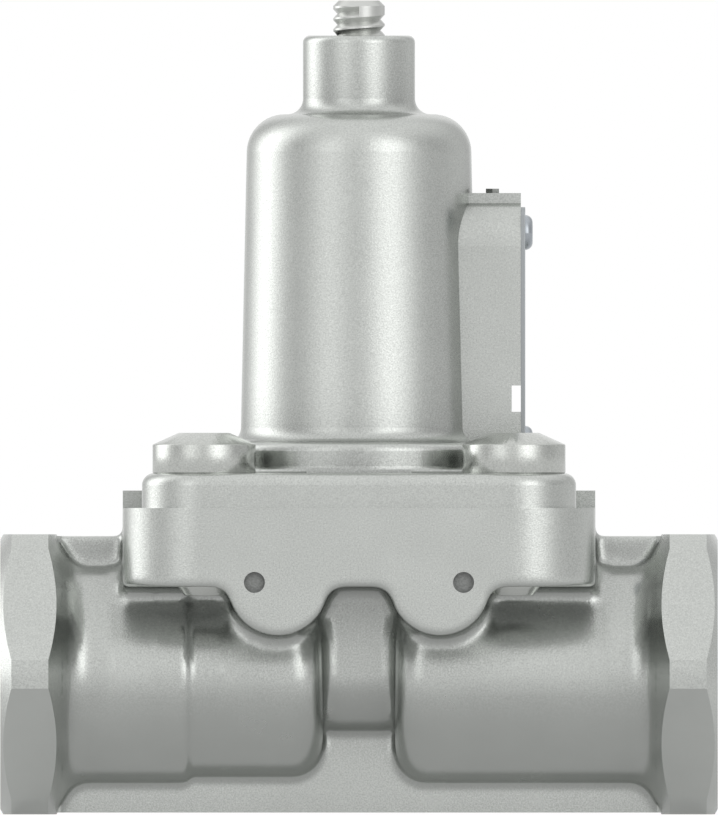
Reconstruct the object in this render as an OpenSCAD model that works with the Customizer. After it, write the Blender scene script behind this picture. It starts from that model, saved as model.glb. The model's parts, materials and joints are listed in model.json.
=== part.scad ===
// Pneumatic overflow valve: a die-cast in-line body with two threaded hexagon ports, a diaphragm
// held on a raised seat by an adjustable spring in the bonnet, and a return check valve inside.
// +X runs from inlet to outlet, +Y to the mounting face, +Z up; the base plane is at z = 0.

/* [Ports] */
// Overall length over both port faces
port_span = 82; // [80:1:90]
// Core diameter of the port thread
port_bore_d = 20.4; // [18.5:0.1:20.8]
// Depth of the port thread
thread_depth = 14; // [11:0.5:15]
// Width across the flats of the port hexagons
hex_af = 32; // [31:0.5:35]
// Length of each hexagon along its rim
hex_len = 5.5; // [4.5:0.25:6.5]
// Diameter turned off the corners of each hexagon
corner_trim = 1.75; // [1:0.05:2.5]
// Width of the chamfer at each port face, measured along the radius
face_chamfer = 2.2; // [1.2:0.1:3]

/* [Body casting] */
// Outside diameter of the two port chambers
chamber_od = 25.2; // [24.6:0.1:27]
// Wall of the chambers
chamber_wall = 3; // [2.8:0.05:3.2]
// How much smaller the inlet chamber gets behind its thread
chamber_step = 0.65; // [0.3:0.05:1]
// Length of the smaller stretch of the inlet chamber
inlet_reach = 15.4; // [14:0.2:16.4]
// Radius of the rounded inner ends of the chambers
chamber_end_r = 3.6; // [2:0.2:4.5]
// Gap between the inner ends of the two chambers
waist_w = 8.2; // [7:0.2:10]
// Diameter of the band round the partition
band_d = 14; // [13.2:0.2:15]
// Width of the band along the ports
band_w = 6.6; // [5:0.2:6.8]
// Depth of the grooves on each side of the band
band_rise = 0.8; // [0.4:0.1:1]
// Thickness of the web along the casting's middle plane
web_t = 5; // [4:0.25:7]
// How far the web's edges lie inside the flats of the hexagons
web_inset = 0.2; // [0.1:0.05:1]
// Wall between the inner end of a chamber and the waist
end_wall = 2.8; // [2.4:0.1:3.4]
// Side length of the square body flange
flange_w = 54; // [52:0.5:60]
// Thickness of the body flange
flange_t = 9; // [8.5:0.25:9.5]
// Radius of the two rear corners, beside the mounting face
rear_corner_r = 1.5; // [0.5:0.25:3]
// Height of the parting plane above the port axis
flange_rise = 19; // [18.5:0.25:21]
// Height of the lip behind the cover
lip_h = 2; // [1:0.25:3]

/* [Mounting] */
// Diameter of the two bosses under the flange
lobe_d = 11.4; // [10.6:0.2:12]
// Distance between the two bosses
lobe_pitch = 18.5; // [17.5:0.25:20]
// Radius of the hollows where the bosses run into the flange
lobe_fillet_r = 2; // [1:0.25:2.5]
// Core diameter of the mounting threads
mount_hole_d = 6.8; // [5:0.1:7]
// Depth of the mounting threads
mount_hole_depth = 13; // [9:0.5:14]
// Diameter of the two marks on the front face
mark_d = 2.4; // [1.5:0.1:3]
// Distance between the two marks
mark_pitch = 23.9; // [22:0.1:26]

/* [Bonnet] */
// Side length of the square cover flange
cover_w = 49.6; // [48:0.2:50]
// Thickness of the cover flange
cover_t = 4; // [3.5:0.25:5]
// Radius along the top edge of the cover flange
cover_edge_r = 1.4; // [0.8:0.1:1.8]
// Diameter of the skirt over the diaphragm
skirt_d = 34.8; // [34:0.1:36]
// Height of the skirt above the cover flange
skirt_h = 3.5; // [2.8:0.1:4]
// Diameter of the barrel at its foot
barrel_d = 27; // [26.6:0.1:28]
// Height of the barrel's shoulder above the cover flange
barrel_h = 41; // [38:0.5:46]
// Draft of the barrel in degrees
barrel_draft = 1.2; // [0.5:0.1:1.5]
// Radius of the barrel's shoulder
shoulder_r = 4.35; // [3:0.15:5]
// Thickness of the roof over the spring
roof_t = 3; // [2.5:0.25:4]
// Diameter of the spring bore
spring_bore_d = 21.8; // [21.4:0.1:22]
// Diameter of the spigot that carries the adjusting screw
spigot_d = 12.8; // [11:0.2:14]
// Height of the spigot above the shoulder
spigot_h = 9; // [7:0.5:11]

/* [Vent boss] */
// Width of the boss beside the barrel
boss_w = 13; // [12:0.25:15]
// Distance from the bonnet axis to the face of the boss
boss_reach = 18.5; // [17.5:0.25:20]
// Height of the boss above the cover flange
boss_h = 31.3; // [30:0.1:34]
// Radius of the boss's upper corners
boss_corner_r = 5.4; // [3:0.1:5.6]
// Height of the vent slot
vent_h = 3; // [2:0.25:4]
// Depth of the vent slot
vent_depth = 1.05; // [0.8:0.05:1.5]
// Height of the vent slot's middle above the cover flange
vent_rise = 8.5; // [7.75:0.25:10]
// Length of the vent cover plate
plate_len = 29.9; // [28:0.1:30]
// Thickness of the vent cover plate
plate_t = 0.5; // [0.4:0.05:0.8]
// Distance from each end of the plate to its rivet
rivet_inset = 2.9; // [2.5:0.1:4]
// Diameter of the rivet heads
rivet_head_d = 4; // [3.4:0.1:4.4]
// Diameter of the rivet shanks
rivet_shank_d = 2.4; // [1.8:0.1:2.6]

/* [Cover screws] */
// Distance between neighbouring cover screws
screw_pitch = 35.4; // [35.2:0.1:36]
// Thread diameter of the cover screws
cover_screw_d = 6; // [5:0.5:6]
// Diameter of the cover screw heads
cover_head_d = 11.8; // [10:0.2:12]
// Height of the cover screw heads
cover_head_h = 4.6; // [3.5:0.1:5]
// Length of screw that stands out below the body flange
tip_out = 1; // [0.5:0.1:1.4]

/* [Diaphragm and seat] */
// Diameter of the diaphragm
diaphragm_d = 41.2; // [40:0.2:41.6]
// Thickness of the clamped rim of the diaphragm
diaphragm_t = 1.4; // [1.2:0.1:1.8]
// Diameter of the pressure chamber under the diaphragm
pressure_d = 30.4; // [30:0.2:31]
// Depth of the pressure chamber
pressure_depth = 4; // [3:0.25:4.25]
// Diameter of the valve seat's bore
seat_bore_d = 8.8; // [7.5:0.1:9]
// Opening lift of the diaphragm
lift = 2; // [1:0.1:2.1]

/* [Adjuster] */
// Thread diameter of the adjusting screw
adjust_d = 6; // [5:0.5:7]
// Length of the adjusting screw that stands out of the spigot
adjust_out = 4; // [3:0.25:5]
// Diameter of the thrust ball under the adjusting screw
ball_d = 3; // [2.5:0.25:3.5]
// Outside diameter of the adjusting spring
spring_d = 19.2; // [18.4:0.1:19.4]
// Wire diameter of the adjusting spring
spring_wire = 2.8; // [2.4:0.1:2.9]
// Number of turns of the adjusting spring
spring_turns = 8; // [7:0.5:8.5]
// Thickness of the upper spring seat
spring_seat_t = 3; // [2.5:0.25:4]
// Room above the upper spring seat for backing the screw off
seat_headroom = 2.4; // [2.2:0.1:4]

/* [Check valve] */
// Diameter of the return bore through the partition
return_bore_d = 7.2; // [6:0.1:8]
// Diameter of the check valve disc
disc_d = 12.4; // [11.4:0.1:13]
// Thickness of the check valve disc
disc_t = 1.6; // [1.2:0.1:2]
// Thickness of the rubber facing on the disc
facing_t = 1.2; // [0.8:0.1:1.6]
// Diameter of the check valve stem
stem_d = 3; // [2.4:0.1:3.4]
// Wire diameter of the check valve spring
return_wire = 0.6; // [0.4:0.05:0.8]
// Number of turns of the check valve spring
return_turns = 5; // [4:0.5:7]
// Thickness of the stem guide
guide_t = 2; // [1.5:0.1:2.5]
// Number of arms on the stem guide
guide_arms = 4; // [3:1:6]

/* [Hidden] */
$fn = 64;

// Fits and small allowances
slip = 0.05;      // radial play of a pin or thread in its hole
free_play = 0.2;  // gap between parts that only lie beside each other
eps = 0.02;       // overlap that makes two solids one

// Heights
axis_z = hex_af / 2;
parting_z = axis_z + flange_rise;
flange_z = parting_z - flange_t;
cover_z = parting_z + cover_t;
skirt_z = cover_z + skirt_h;
shoulder_z = cover_z + barrel_h;
spigot_z = shoulder_z + spigot_h;
seat_z = parting_z - diaphragm_t;
pressure_z = seat_z - pressure_depth;
lobe_z = flange_z + 0.15;

// Cover screws stand at the centres of the rounded corners
screw_at = screw_pitch / 2;
flange_corner_r = flange_w / 2 - screw_at;
cover_corner_r = cover_w / 2 - screw_at;

// Ports and chambers, measured from a port face inwards
port_x = port_span / 2;
hex_corner_r = (hex_af / cos(30) - corner_trim) / 2;
chamfer_angle = 30;
face_r = hex_corner_r - face_chamfer;
chamber_r = chamber_od / 2;
inlet_r = chamber_r - chamber_step;
flare_r = 3;
flare_turn = 90 - chamfer_angle;
flare_top_r = chamber_r + flare_r * (1 - cos(flare_turn));
flare_top_x = hex_len + (hex_corner_r - flare_top_r) * tan(chamfer_angle);
flare_foot_x = flare_top_x + flare_r * sin(flare_turn);
chamber_len = port_x - waist_w / 2;
step_x = chamber_len - inlet_reach;
step_run = chamber_step / 2;
relief_r = chamber_r - chamber_wall;
inlet_bore_r = inlet_r - chamber_wall;
shoulder_x = step_x + chamber_step;
bore_depth = chamber_len - end_wall;
mouth_chamfer = 0.8;

// Partition and passages
core_d = band_d - 2 * band_rise;
seat_bore_r = seat_bore_d / 2;
seat_land = 1;
seat_wall = 1.6;
passage_h = 5;
passage_floor = 2.9;
passage_z = axis_z + return_bore_d / 2 + passage_floor;
passage_reach = 11;
inlet_hole_r = 3.6;
inlet_hole_x = -(pressure_d / 2 - inlet_hole_r - 0.1);
return_seat_h = 0.8;
return_seat_wall = 1.2;

// Bonnet
barrel_foot_r = 1.7;
skirt_edge_r = 1;
skirt_fillet_r = 0.8;
spigot_fillet_r = 1.8;
spigot_edge_r = 0.8;
barrel_foot_z = skirt_z + barrel_foot_r;
shoulder_c_z = shoulder_z - shoulder_r;
shoulder_c_r = barrel_r(shoulder_c_z) - shoulder_r / cos(barrel_draft);
dome_roof_t = 2.8;
dome_z = skirt_z - dome_roof_t;
bore_top_z = shoulder_z - roof_t;
ledge_w = 6.6;
ledge_h = 0.7;
nub_w = 1.5;
nub_h = 0.5;
nub_x = 15.25;
vent_bore_d = 2;
vent_z = cover_z + vent_rise;
plate_gap = 0.5;
plate_z = cover_z + plate_gap;
rivet_head_h = 0.85;
rivet_depth = 5;
pad_w = 6;
pad_reach = 4.8;
pad_heights = [0.6, 0.4];

// Diaphragm and piston
diaphragm_r = diaphragm_d / 2;
diaphragm_pad_r = 11;
diaphragm_web_t = 1;
roll_r = 13.4;
roll_out_r = 1.7;
piston_foot_r = 11.4;
piston_foot_h = 2;
piston_rim_r = spring_bore_d / 2 - 0.3;
piston_rim_wall = 0.7;
piston_rim_top = vent_z - vent_bore_d / 2 - lift - 0.3;
spring_boss_h = 2.2;

// Adjuster
spring_r = (spring_d - spring_wire) / 2;
spring_low_z = parting_z + piston_foot_h;
seat_top_z = bore_top_z - seat_headroom;
spring_high_z = seat_top_z - spring_seat_t;
spring_boss_r = spring_r - spring_wire / 2 - 0.4;
upper_seat_r = spring_bore_d / 2 - 1.2;
adjust_r = adjust_d / 2;
ball_r = ball_d / 2;
ball_z = seat_top_z + 0.4;
ball_gap = 0.05;
cone_h = ball_r * sqrt(2);
adjust_low_z = ball_z + 0.4;
adjust_high_z = spigot_z + adjust_out;
adjust_point = 0.7;
socket_af = adjust_d / 2;
socket_depth = 3;

// Cover screw details
cover_screw_r = cover_screw_d / 2;
head_crown = 1.35;
head_cone_w = 3;
head_crown_r = cover_head_d / 2 - head_cone_w;
screw_clearance = 0.3;
recess_r = 1.9;
recess_depth = 2.6;

// Check valve, measured along the inlet
return_seat_x = -(waist_w / 2 + end_wall + return_seat_h);
disc_x = return_seat_x - facing_t;
disc_back_x = disc_x - disc_t;
facing_inset = 0.4;
guide_x = -(port_x - shoulder_x);
guide_far_x = guide_x - guide_t;
guide_r = relief_r - free_play / 2;
guide_hub_r = 5;
guide_rim_wall = 1.5;
guide_arm_w = 1.8;
stem_far_x = guide_far_x + free_play;
return_spring_r = 4;
clip_t = 1;
clip_groove = 0.45;
clip_w = 1.5;
clip_gap_angle = 40;

// Outer radius of the drafted barrel at a height
function barrel_r(z) = barrel_d / 2 - (z - barrel_foot_z) * tan(barrel_draft);

// Part of a disc between two angles up to 90 degrees apart
module sector(r, from, to) {
    intersection() {
        circle(r);
        polygon([[0, 0], 2 * r * [cos(from), sin(from)], 2 * r * [cos(to), sin(to)]]);
    }
}

// Material that fills a concave corner at the origin, whose sides run along +X and +Y
module corner_fillet(r) {
    difference() {
        translate([-eps, -eps]) square(r + eps);
        translate([r, r]) circle(r);
    }
}

// Square with rounded corners, centred
module rounded_square(w, r) {
    square([w, w - 2 * r], center = true);
    square([w - 2 * r, w], center = true);
    for (x = [-1, 1], y = [-1, 1])
        translate([x, y] * (w / 2 - r)) circle(r);
}

// Turns a profile drawn as [radius, position] about the port axis, with positions along +X
module turned_on_port_axis() {
    translate([0, 0, axis_z]) rotate([0, 90, 0]) rotate_extrude() children();
}

// Cylinder along X on the port axis between two positions
module port_cylinder(r, x0, x1) {
    translate([x0, 0, axis_z]) rotate([0, 90, 0]) cylinder(r = r, h = x1 - x0);
}

// Repeats its children at the four cover screws
module at_cover_screws() {
    for (x = [-1, 1], y = [-1, 1])
        translate([x * screw_at, y * screw_at, 0]) children();
}

// Helical wire between two heights, with one closed turn at each end and both ends ground flat
module helical_spring(coil_r, wire, turns, low, high, sides, steps) {
    rings = round(turns * steps);
    grind = 0.2 * wire;
    rise = high - low - wire + 2 * grind;
    open_turns = turns - 2;
    function height(t) = low + wire / 2 - grind
        + (min(t, 1) + max(t - turns + 1, 0)) * wire
        + max(min(t - 1, open_turns), 0) * (rise - 2 * wire) / open_turns;
    points = [for (i = [0:rings], k = [0:sides - 1])
        let (t = i / steps, a = 360 * t, b = 360 * k / sides, r = coil_r + wire / 2 * cos(b))
        [r * cos(a), r * sin(a), height(t) + wire / 2 * sin(b)]];
    walls = [for (i = [0:rings - 1], k = [0:sides - 1])
        let (n = (k + 1) % sides)
        [i * sides + k, i * sides + n, (i + 1) * sides + n, (i + 1) * sides + k]];
    first_end = [for (k = [sides - 1:-1:0]) k];
    last_end = [for (k = [0:sides - 1]) rings * sides + k];
    intersection() {
        polyhedron(points, concat([first_end, last_end], [for (w = walls) [w[3], w[2], w[1], w[0]]]),
            convexity = 10);
        translate([0, 0, low]) cylinder(r = coil_r + wire, h = high - low);
    }
}

// Hexagon at the left port, chamfered on its face
module port_hexagon() {
    intersection() {
        translate([-port_x, 0, axis_z]) rotate([0, 90, 0]) rotate([0, 0, 30])
            cylinder(d = hex_af / cos(30), h = flare_foot_x, $fn = 6);
        translate([-port_x, 0, 0]) turned_on_port_axis()
            polygon([
                [0, 0], [face_r, 0], [hex_corner_r, face_chamfer * tan(chamfer_angle)],
                [hex_corner_r, hex_len], [flare_top_r, flare_top_x], [0, flare_top_x]
            ]);
    }
}

// Flare between the hexagon's back and the chamber, as a profile from the port face inwards
module flare_profile() {
    difference() {
        polygon([
            [0, 0], [flare_top_r, 0], [flare_top_r, flare_foot_x], [0, flare_foot_x]
        ]);
        translate([chamber_r + flare_r, flare_foot_x]) circle(flare_r);
    }
}

// Chamber of one radius with a rounded inner end, from a start to the waist
module chamber_profile(r, start) {
    square([r - chamber_end_r, chamber_len]);
    translate([0, start]) square([r, chamber_len - chamber_end_r - start]);
    translate([r - chamber_end_r, chamber_len - chamber_end_r]) sector(chamber_end_r, 0, 90);
}

// Taper from the full chamber radius down to the inlet's smaller radius
module step_profile() {
    polygon([
        [0, 0], [chamber_r, 0], [chamber_r, step_x - step_run],
        [inlet_r, step_x + step_run], [0, step_x + step_run]
    ]);
}

// Inlet half of the turned casting, at the left
module inlet_chamber() {
    translate([-port_x, 0, 0]) turned_on_port_axis() {
        flare_profile();
        step_profile();
        chamber_profile(inlet_r, step_x);
    }
}

// Outlet half of the turned casting, at the right
module outlet_chamber() {
    mirror([1, 0, 0]) translate([-port_x, 0, 0]) turned_on_port_axis() {
        flare_profile();
        chamber_profile(chamber_r, 0);
    }
}

// Upright slab with a round foot that joins the waist to the flange
module waist_slab(d, w) {
    translate([-w / 2, 0, axis_z]) rotate([90, 0, 90]) linear_extrude(w) {
        circle(d = d);
        translate([-d / 2, 0]) square([d, flange_rise - flange_t / 2]);
    }
}

// Web on the casting's middle plane, under both chambers and up to the flange at both ends
module web() {
    reach = port_x - hex_len;
    translate([-reach, -web_t / 2, web_inset]) cube([2 * reach, web_t, axis_z]);
    for (side = [0, 1])
        mirror([side, 0, 0]) translate([-reach, -web_t / 2, axis_z])
            cube([reach - flange_w / 2 + flange_corner_r, web_t, hex_af / 2 - web_inset]);
}

// Rear part of the flange's outline, back from a given distance behind the middle
module rear_outline(from_y) {
    inner = flange_w / 2 - rear_corner_r;
    translate([-flange_w / 2, from_y]) square([flange_w, inner - from_y]);
    translate([-inner, from_y]) square([2 * inner, flange_w / 2 - from_y]);
    for (x = [-1, 1]) translate([x * inner, inner]) circle(rear_corner_r);
}

// Square flange that carries the cover, with the lip behind it
module body_flange() {
    lip_y = cover_w / 2 + free_play;
    translate([0, 0, flange_z]) linear_extrude(flange_t) {
        rounded_square(flange_w, flange_corner_r);
        rear_outline(0);
    }
    difference() {
        translate([0, 0, parting_z - eps]) linear_extrude(lip_h + eps) rear_outline(0);
        translate([-flange_w, -flange_w, parting_z]) cube([2 * flange_w, flange_w + lip_y, 2 * lip_h]);
    }
}

// The two bosses that run under the flange from front to back
module lobes() {
    r = lobe_d / 2;
    drop = lobe_z - flange_z + lobe_fillet_r + eps;
    run = sqrt(pow(r + lobe_fillet_r - eps, 2) - pow(drop, 2));
    translate([0, flange_w / 2, lobe_z]) rotate([90, 0, 0]) linear_extrude(flange_w)
        for (side = [-1, 1]) translate([side * lobe_pitch / 2, 0]) {
            circle(r);
            difference() {
                polygon([[0, 1], [-run, 1], [-run, -drop], [0, 0], [run, -drop], [run, 1]]);
                for (x = [-run, run]) translate([x, -drop]) circle(lobe_fillet_r);
            }
        }
}

// Threaded port and chamber hollow at the inlet
module inlet_hollow() {
    port_cylinder(port_bore_d / 2, -port_x - eps, -port_x + thread_depth);
    port_cylinder(relief_r, -port_x, -port_x + shoulder_x);
    difference() {
        port_cylinder(inlet_bore_r, -port_x, -port_x + bore_depth);
        port_cylinder(return_bore_d / 2 + return_seat_wall, return_seat_x, 0);
    }
    port_cylinder(relief_r + clip_groove, guide_far_x - clip_t - slip, guide_far_x);
    port_mouth();
}

// Threaded port and chamber hollow at the outlet
module outlet_hollow() {
    port_cylinder(port_bore_d / 2, port_x - thread_depth, port_x + eps);
    port_cylinder(relief_r, port_x - bore_depth, port_x);
    mirror([1, 0, 0]) port_mouth();
}

// Lead-in chamfer at the mouth of the left port
module port_mouth() {
    translate([-port_x - eps, 0, axis_z]) rotate([0, 90, 0])
        cylinder(r1 = port_bore_d / 2 + mouth_chamfer, r2 = port_bore_d / 2, h = mouth_chamfer);
}

// Pressure chamber, valve seat and the passages that lead to them
module seat_and_passages() {
    difference() {
        translate([0, 0, pressure_z]) cylinder(d = pressure_d, h = parting_z);
        translate([0, 0, pressure_z - eps]) cylinder(r = seat_bore_r + seat_wall,
            h = pressure_depth - seat_land + eps);
        cylinder(r = seat_bore_r + seat_land, h = seat_z);
    }
    translate([0, 0, seat_z]) cylinder(r = diaphragm_r + free_play, h = parting_z);
    translate([0, 0, passage_z]) cylinder(r = seat_bore_r, h = parting_z);
    translate([0, 0, passage_z + passage_h / 2]) rotate([90, 0, 90]) linear_extrude(passage_reach) {
        square([2 * seat_bore_r - passage_h, passage_h], center = true);
        for (side = [-1, 1])
            translate([side * (seat_bore_r - passage_h / 2), 0]) circle(d = passage_h);
    }
    translate([inlet_hole_x, 0, axis_z + inlet_bore_r / 2])
        cylinder(r = inlet_hole_r, h = pressure_z - axis_z - inlet_bore_r / 2 + eps);
    port_cylinder(return_bore_d / 2, -port_x + bore_depth - end_wall, port_x - bore_depth + eps);
}

// Mounting threads in the back of the bosses
module mounting_holes() {
    for (side = [-1, 1])
        translate([side * lobe_pitch / 2, flange_w / 2 + eps, lobe_z]) rotate([90, 0, 0])
            cylinder(d = mount_hole_d, h = mount_hole_depth + eps);
}

// Shallow round marks on the front face
module front_marks() {
    mark_depth = 1;
    for (side = [-1, 1])
        translate([side * mark_pitch / 2, -flange_w / 2 + mark_depth, flange_z + 0.5])
            rotate([90, 0, 0]) cylinder(d = mark_d, h = mark_depth + eps);
}

module valve_body() {
    color([0.73, 0.74, 0.72]) difference() {
        union() {
            port_hexagon();
            mirror([1, 0, 0]) port_hexagon();
            inlet_chamber();
            outlet_chamber();
            waist_slab(core_d, waist_w + 1);
            waist_slab(band_d, band_w);
            web();
            body_flange();
            lobes();
        }
        inlet_hollow();
        outlet_hollow();
        seat_and_passages();
        mounting_holes();
        front_marks();
        at_cover_screws() translate([0, 0, flange_z - 2 * tip_out])
            cylinder(r = cover_screw_r, h = flange_t + 2 * tip_out + eps);
    }
}

// Cover flange with a rounded top edge
module cover_flange() {
    inner = cover_w / 2 - cover_corner_r;
    module edge_profile(w) {
        square([w, cover_t - cover_edge_r]);
        square([w - cover_edge_r, cover_t]);
        translate([w - cover_edge_r, cover_t - cover_edge_r]) sector(cover_edge_r, 0, 90);
    }
    translate([0, 0, parting_z]) {
        for (x = [-1, 1], y = [-1, 1])
            translate([x * inner, y * inner, 0]) rotate_extrude() edge_profile(cover_corner_r);
        for (turn = [0:90:270])
            rotate([0, 0, turn]) rotate([90, 0, 0]) translate([0, 0, -inner])
                linear_extrude(2 * inner) edge_profile(cover_w / 2);
    }
}

// Skirt, barrel and spigot as one turned profile
module bonnet_outline() {
    skirt_r = skirt_d / 2;
    spigot_r = spigot_d / 2;
    translate([0, parting_z]) square([skirt_r, cover_t + skirt_h - skirt_edge_r]);
    square([skirt_r - skirt_edge_r, skirt_z]);
    translate([skirt_r - skirt_edge_r, skirt_z - skirt_edge_r]) sector(skirt_edge_r, 0, 90);
    translate([skirt_r, cover_z]) corner_fillet(skirt_fillet_r);
    translate([barrel_d / 2, skirt_z]) corner_fillet(barrel_foot_r);
    polygon([
        [0, skirt_z - eps], [barrel_d / 2, skirt_z - eps], [barrel_d / 2, barrel_foot_z],
        [shoulder_c_r, shoulder_c_z] + shoulder_r * [cos(barrel_draft), sin(barrel_draft)],
        [shoulder_c_r, shoulder_c_z], [shoulder_c_r, shoulder_z], [0, shoulder_z]
    ]);
    translate([shoulder_c_r, shoulder_c_z]) sector(shoulder_r, barrel_draft, 90);
    translate([spigot_r, shoulder_z]) corner_fillet(spigot_fillet_r);
    square([spigot_r, spigot_z - spigot_edge_r]);
    square([spigot_r - spigot_edge_r, spigot_z]);
    translate([spigot_r - spigot_edge_r, spigot_z - spigot_edge_r]) sector(spigot_edge_r, 0, 90);
}

// Boss beside the barrel that carries the vent slot and its cover plate
module vent_boss() {
    inner = boss_w / 2 - boss_corner_r;
    top = boss_h - boss_corner_r;
    translate([0, 0, cover_z - eps]) rotate([90, 0, 90]) linear_extrude(boss_reach) {
        translate([-boss_w / 2, 0]) square([boss_w, top + eps]);
        translate([-inner, 0]) square([2 * inner, boss_h + eps]);
        translate([inner, top + eps]) sector(boss_corner_r, 0, 90);
        translate([-inner, top + eps]) sector(boss_corner_r, 90, 180);
        translate([-ledge_w / 2, 0]) square([ledge_w, boss_h + ledge_h + eps]);
    }
    translate([nub_x, 0, cover_z + boss_h]) cylinder(d = nub_w, h = ledge_h + nub_h, $fn = 4);
}

// Two low pads on the cover, in front of the skirt
module front_pads() {
    for (i = [0, 1])
        translate([(i - 1) * pad_w, -(skirt_d / 2 + pad_reach), cover_z - eps])
            cube([pad_w, 2 * pad_reach, pad_heights[i] + eps]);
}

// Vent slot across the boss and the drilled hole from it to the spring bore
module vent() {
    translate([boss_reach - vent_depth, -boss_w, vent_z - vent_h / 2])
        cube([vent_depth + 1, 2 * boss_w, vent_h]);
    translate([0, 0, vent_z]) rotate([0, 90, 0]) cylinder(d = vent_bore_d, h = boss_reach);
}

// Repeats its children at the two rivets, looking along +X from the boss face
module at_rivet(i) {
    rivet_z = plate_z + (i == 0 ? plate_len - rivet_inset : rivet_inset);
    translate([boss_reach, 0, rivet_z]) rotate([0, 90, 0]) children();
}

module bonnet() {
    color([0.74, 0.75, 0.73]) difference() {
        union() {
            cover_flange();
            difference() {
                rotate_extrude() bonnet_outline();
                translate([0, 0, parting_z / 2]) cube([4 * skirt_d, 4 * skirt_d, parting_z], center = true);
            }
            vent_boss();
            front_pads();
        }
        translate([0, 0, parting_z - eps]) cylinder(d = pressure_d, h = dome_z - parting_z + eps);
        translate([0, 0, parting_z]) cylinder(d = spring_bore_d, h = bore_top_z - parting_z);
        translate([0, 0, parting_z]) cylinder(r = adjust_r + slip, h = spigot_z);
        vent();
        for (i = [0, 1])
            at_rivet(i) translate([0, 0, -rivet_depth])
                cylinder(d = rivet_shank_d + 2 * slip, h = 2 * rivet_depth);
        at_cover_screws() translate([0, 0, parting_z - eps])
            cylinder(r = cover_screw_r + screw_clearance, h = 2 * cover_t);
    }
}

// Moulded diaphragm with a rolled ring between its rim and its centre pad
module diaphragm() {
    color([0.12, 0.12, 0.12]) translate([0, 0, seat_z]) rotate_extrude() {
        square([diaphragm_pad_r, diaphragm_t]);
        difference() {
            union() {
                square([pressure_d / 2, diaphragm_web_t]);
                translate([roll_r, diaphragm_web_t / 2]) circle(roll_out_r);
            }
            translate([roll_r, diaphragm_web_t / 2]) circle(roll_out_r - diaphragm_web_t);
            translate([0, -2 * roll_out_r]) square([2 * roll_r, 2 * roll_out_r]);
            translate([roll_r, 0])
                square([2 * (roll_out_r - diaphragm_web_t), diaphragm_web_t], center = true);
        }
        translate([pressure_d / 2, 0]) square([diaphragm_r - pressure_d / 2, diaphragm_t]);
    }
}

// Piston that passes the spring's force to the diaphragm, guided in the spring bore
module thrust_piston() {
    rim_in_r = piston_rim_r - piston_rim_wall;
    color([0.60, 0.61, 0.63]) difference() {
        translate([0, 0, parting_z]) {
            cylinder(r = piston_foot_r, h = piston_foot_h);
            cylinder(r = spring_boss_r, h = piston_foot_h + spring_boss_h);
            cylinder(r = piston_rim_r, h = piston_rim_top - parting_z);
        }
        difference() {
            translate([0, 0, spring_low_z]) cylinder(r = rim_in_r, h = spring_bore_d);
            translate([0, 0, spring_low_z - eps]) cylinder(r = spring_boss_r, h = spring_boss_h + eps);
        }
        translate([0, 0, parting_z + piston_foot_h]) cylinder(r = spring_boss_r / 2, h = spring_bore_d);
    }
}

module adjusting_spring() {
    color([0.50, 0.51, 0.53])
        helical_spring(spring_r, spring_wire, spring_turns, spring_low_z, spring_high_z, 10, 22);
}

// Stepped disc on top of the spring, with a conical seat for the thrust ball
module upper_spring_seat() {
    color([0.60, 0.61, 0.63]) difference() {
        union() {
            translate([0, 0, spring_high_z]) cylinder(r = upper_seat_r, h = spring_seat_t);
            translate([0, 0, spring_high_z - spring_boss_h])
                cylinder(r = spring_boss_r, h = spring_boss_h + eps);
        }
        translate([0, 0, ball_z - cone_h]) cylinder(r1 = 0, r2 = cone_h, h = cone_h);
    }
}

// Ball that lets the adjusting screw turn without twisting the spring
module thrust_ball() {
    color([0.78, 0.79, 0.80]) translate([0, 0, ball_z]) sphere(ball_r);
}

// Threaded adjusting screw with a hexagon socket in its head end
module adjusting_screw() {
    r = adjust_r;
    color([0.66, 0.67, 0.66]) difference() {
        rotate_extrude() polygon([
            [0, adjust_low_z], [r - adjust_point, adjust_low_z], [r, adjust_low_z + adjust_point],
            [r, adjust_high_z - adjust_point], [r - adjust_point, adjust_high_z], [0, adjust_high_z]
        ]);
        translate([0, 0, adjust_high_z - socket_depth])
            cylinder(d = socket_af / cos(30), h = 2 * socket_depth, $fn = 6);
        translate([0, 0, ball_z + ball_gap]) cylinder(r1 = cone_h, r2 = 0, h = cone_h);
    }
}

// Pan-head screw with a six-lobed recess, its head on the cover at the origin's plane
module cover_screw() {
    head_r = cover_head_d / 2;
    shank = cover_t + flange_t + tip_out;
    r = cover_screw_r - slip;
    color([0.72, 0.73, 0.71]) difference() {
        rotate_extrude() polygon([
            [0, -shank], [r - tip_out * 0.7, -shank], [r, -shank + tip_out], [r, 0], [head_r, 0],
            [head_r, cover_head_h - head_crown], [head_crown_r, cover_head_h], [0, cover_head_h]
        ]);
        translate([0, 0, cover_head_h - recess_depth]) {
            cylinder(r = recess_r, h = 2 * recess_depth);
            for (a = [0:60:300])
                rotate([0, 0, a]) translate([recess_r, 0, 0])
                    cylinder(r = recess_r / 3, h = 2 * recess_depth);
        }
    }
}

// One cover screw in its corner
module placed_cover_screw(x_side, y_side) {
    translate([x_side * screw_at, y_side * screw_at, cover_z]) cover_screw();
}

// Thin plate that covers the vent slot
module vent_cover_plate() {
    plate_corner_r = 1;
    color([0.75, 0.76, 0.77]) difference() {
        translate([boss_reach, 0, plate_z]) rotate([90, 0, 90]) linear_extrude(plate_t) {
            translate([-boss_w / 2, plate_corner_r]) square([boss_w, plate_len - 2 * plate_corner_r]);
            translate([-boss_w / 2 + plate_corner_r, 0]) square([boss_w - 2 * plate_corner_r, plate_len]);
            for (y = [-1, 1], z = [plate_corner_r, plate_len - plate_corner_r])
                translate([y * (boss_w / 2 - plate_corner_r), z]) circle(plate_corner_r);
        }
        for (i = [0, 1])
            at_rivet(i) translate([0, 0, -plate_t]) cylinder(d = rivet_shank_d + 2 * slip, h = 3 * plate_t);
    }
}

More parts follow.
